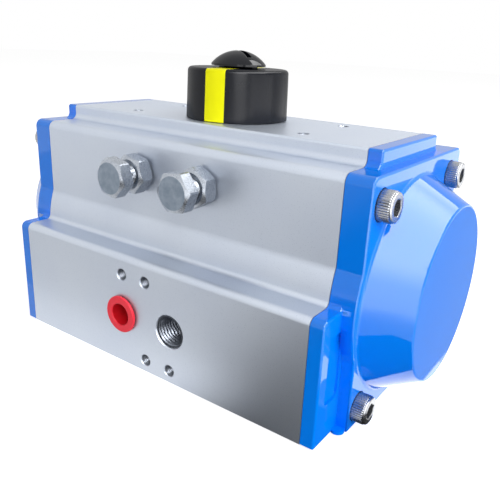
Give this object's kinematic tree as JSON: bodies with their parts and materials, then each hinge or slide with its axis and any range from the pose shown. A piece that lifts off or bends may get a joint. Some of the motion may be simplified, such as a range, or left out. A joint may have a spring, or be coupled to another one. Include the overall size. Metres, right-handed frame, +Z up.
{
  "type": "pneumatic valve actuator",
  "caption": "Quarter-turn pneumatic valve actuator: opposed rack pistons in an aluminium housing turn a square-socket shaft, with stop bolts and a top position indicator.",
  "frame": {"origin": "on the shaft axis, at the face that sits on the valve", "axes": "+X along the housing from end cap to end cap, +Z up along the shaft to the indicator, -Y out of the face with the air ports"},
  "size_m": [0.1864, 0.0963, 0.118],
  "materials": {
    "anodised_aluminium": "satin anodised extrusion",
    "blue_paint": "glossy blue paint on a die casting",
    "cast_aluminium": "as cast",
    "plated_steel": "machined and nickel plated",
    "zinc_steel": "bright zinc plated",
    "stainless_steel": "plain stainless",
    "hardened_steel": "dark hardened steel",
    "seal_rubber": "matt black rubber",
    "bearing_plastic": "plain off-white bearing plastic",
    "black_plastic": "glossy black moulding",
    "yellow_plastic": "bright yellow moulding",
    "red_plastic": "soft red moulding"
  },
  "bodies": {
    "housing": {"body": "anodised_aluminium", "left_end_cap": "blue_paint", "right_end_cap": "blue_paint", "left_cap_seal": "seal_rubber", "right_cap_seal": "seal_rubber", "left_cap_screws": "stainless_steel", "right_cap_screws": "stainless_steel", "upper_bush": "bearing_plastic", "thrust_ring": "bearing_plastic", "stop_bolt_seals": "seal_rubber"},
    "drive": {"pinion_shaft": "plated_steel", "stop_cam": "hardened_steel", "cam_spacer": "bearing_plastic", "lower_shaft_seal": "seal_rubber", "lower_shaft_bearing": "bearing_plastic", "upper_shaft_seal": "seal_rubber", "support_washer": "stainless_steel", "retaining_ring": "hardened_steel", "position_indicator": "black_plastic", "indicator_stripe": "yellow_plastic", "indicator_knob": "black_plastic"},
    "right_rack_piston": {"right_piston": "cast_aluminium", "right_piston_seal": "seal_rubber", "right_piston_guide_ring": "bearing_plastic", "right_rack_guide": "bearing_plastic"},
    "left_rack_piston": {"left_piston": "cast_aluminium", "left_piston_seal": "seal_rubber", "left_piston_guide_ring": "bearing_plastic", "left_rack_guide": "bearing_plastic"},
    "right_stop": {"right_stop_bolt": "zinc_steel"},
    "left_stop": {"left_stop_bolt": "zinc_steel"},
    "right_nut": {"right_lock_nut": "zinc_steel"},
    "left_nut": {"left_lock_nut": "zinc_steel"},
    "plug": {"port_plug": "red_plastic"}
  },
  "joints": [
    {"name": "drive_turn", "type": "hinge", "parent": "housing", "child": "drive", "pos_m": [0, 0, 0], "axis": [0, 0, 1], "range_deg": [0, 90]},
    {"name": "right_piston_slide", "type": "slide", "parent": "housing", "child": "right_rack_piston", "axis": [1, 0, 0], "range_m": [0, 0.0236]},
    {"name": "left_piston_slide", "type": "slide", "parent": "housing", "child": "left_rack_piston", "axis": [-1, 0, 0], "range_m": [0, 0.0236]},
    {"name": "right_stop_adjust", "type": "slide", "parent": "housing", "child": "right_stop", "axis": [0, -1, 0], "range_m": [0, 0.003]},
    {"name": "left_stop_adjust", "type": "slide", "parent": "housing", "child": "left_stop", "axis": [0, -1, 0], "range_m": [0, 0.003]},
    {"name": "right_nut_turn", "type": "hinge", "parent": "right_stop", "child": "right_nut", "pos_m": [0.015, -0.042, 0.0735], "axis": [0, -1, 0], "continuous": true},
    {"name": "left_nut_turn", "type": "hinge", "parent": "left_stop", "child": "left_nut", "pos_m": [-0.015, -0.042, 0.0735], "axis": [0, -1, 0], "continuous": true},
    {"name": "plug_pull", "type": "slide", "parent": "housing", "child": "plug", "axis": [0, -1, 0], "range_m": [0, 0.012]}
  ],
  "couplings": [
    {"joint": "right_piston_slide", "follows": "drive_turn", "m_per_rad": 0.015},
    {"joint": "left_piston_slide", "follows": "drive_turn", "m_per_rad": 0.015}
  ]
}
